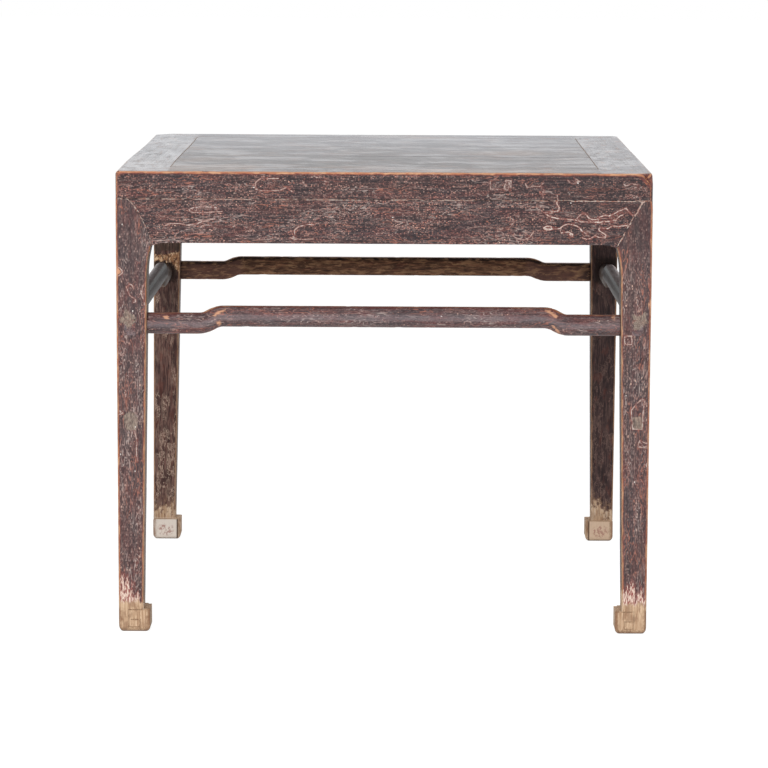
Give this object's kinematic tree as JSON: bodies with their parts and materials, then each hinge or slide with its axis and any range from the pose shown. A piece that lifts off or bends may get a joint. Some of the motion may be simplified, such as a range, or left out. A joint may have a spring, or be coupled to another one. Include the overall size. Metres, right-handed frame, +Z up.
{
  "type": "chinese eight immortals table",
  "caption": "Square table with a frame-and-panel top, flush aprons mitred into tapered legs, humpback stretchers and square inward hoof feet.",
  "frame": {"origin": "on the floor, under the middle of the tabletop", "axes": "+Z up, +X to the right and -Y towards a viewer who faces the front, where the battens' through tenons show on the frame"},
  "size_m": [0.95, 0.95, 0.83],
  "materials": {
    "frame_lacquer": "worn crackled brown-purple lacquer, orange-tan on the arrises",
    "panel_lacquer": "rubbed grey-brown lacquer with open grain",
    "leg_lacquer": "worn crackled lacquer, bare tan wood at the feet",
    "apron_lacquer": "crackled brown-purple lacquer over a red ground",
    "stretcher_lacquer": "rubbed brown-purple lacquer, bare inner side",
    "bare_wood": "bare brown wood"
  },
  "bodies": {
    "root": {"top_frame_front": "frame_lacquer", "top_frame_back": "frame_lacquer", "top_frame_left": "frame_lacquer", "top_frame_right": "frame_lacquer", "panel_board_front": "panel_lacquer", "panel_board_middle": "panel_lacquer", "panel_board_back": "panel_lacquer", "leg_front_left": "leg_lacquer", "leg_front_right": "leg_lacquer", "leg_back_left": "leg_lacquer", "leg_back_right": "leg_lacquer", "apron_front": "apron_lacquer", "apron_back": "apron_lacquer", "apron_left": "apron_lacquer", "apron_right": "apron_lacquer", "stretcher_front": "stretcher_lacquer", "stretcher_back": "stretcher_lacquer", "stretcher_left": "stretcher_lacquer", "stretcher_right": "stretcher_lacquer", "batten_left": "bare_wood", "batten_right": "bare_wood", "apron_loose_tenons": "bare_wood"}
  },
  "joints": []
}
